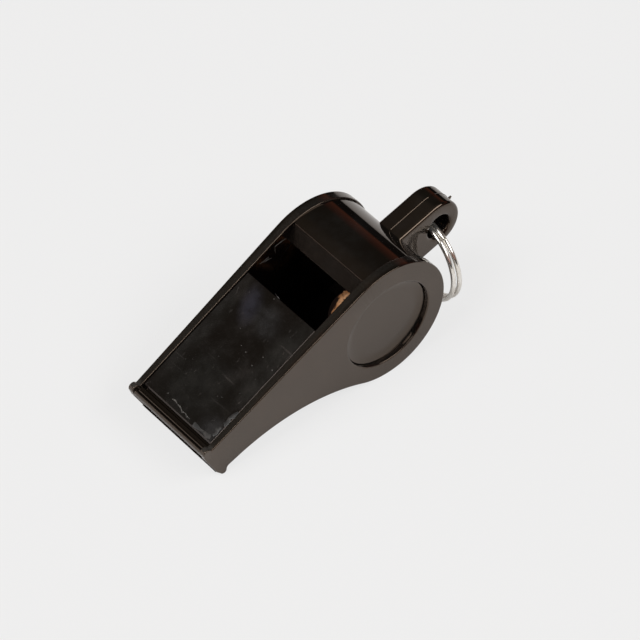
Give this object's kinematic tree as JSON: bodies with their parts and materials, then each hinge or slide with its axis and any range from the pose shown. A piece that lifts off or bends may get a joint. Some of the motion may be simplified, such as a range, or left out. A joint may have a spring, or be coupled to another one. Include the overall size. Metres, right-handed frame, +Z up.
{
  "type": "sports whistle",
  "caption": "Black plastic pea whistle with a glued roof plate, round side caps, a loose cork pea and a small wire split ring through its tail eye.",
  "frame": {"origin": "bottom centre of the bounding box: the plane of the table on which the whistle lies on its belly", "axes": "+X from the mouth to the tail eye, +Y to the whistle's left across the barrel, +Z up from the table"},
  "size_m": [0.0582, 0.02, 0.0232],
  "materials": {
    "black_plastic": "gloss black moulding with fine handling scuffs",
    "roof_plastic": "gloss black sheet, hazed and specked, with solvent marks at its edges",
    "cork": "raw cork with dark pores",
    "ring_steel": "bright plated spring wire"
  },
  "bodies": {
    "whistle": {"body": "black_plastic", "roof_plate": "roof_plastic", "right_cap": "black_plastic", "left_cap": "black_plastic"},
    "loose_pea": {"pea": "cork"},
    "ring": {"split_ring": "ring_steel"}
  },
  "joints": [
    {"name": "pea_orbit", "type": "hinge", "parent": "whistle", "child": "loose_pea", "pos_m": [0.00732, 0, 0.0116], "axis": [0, 1, 0], "continuous": true},
    {"name": "ring_swing", "type": "hinge", "parent": "whistle", "child": "ring", "pos_m": [0.02429, 0, 0.01593], "axis": [0, -1, 0], "range_deg": [-22, 235]}
  ]
}
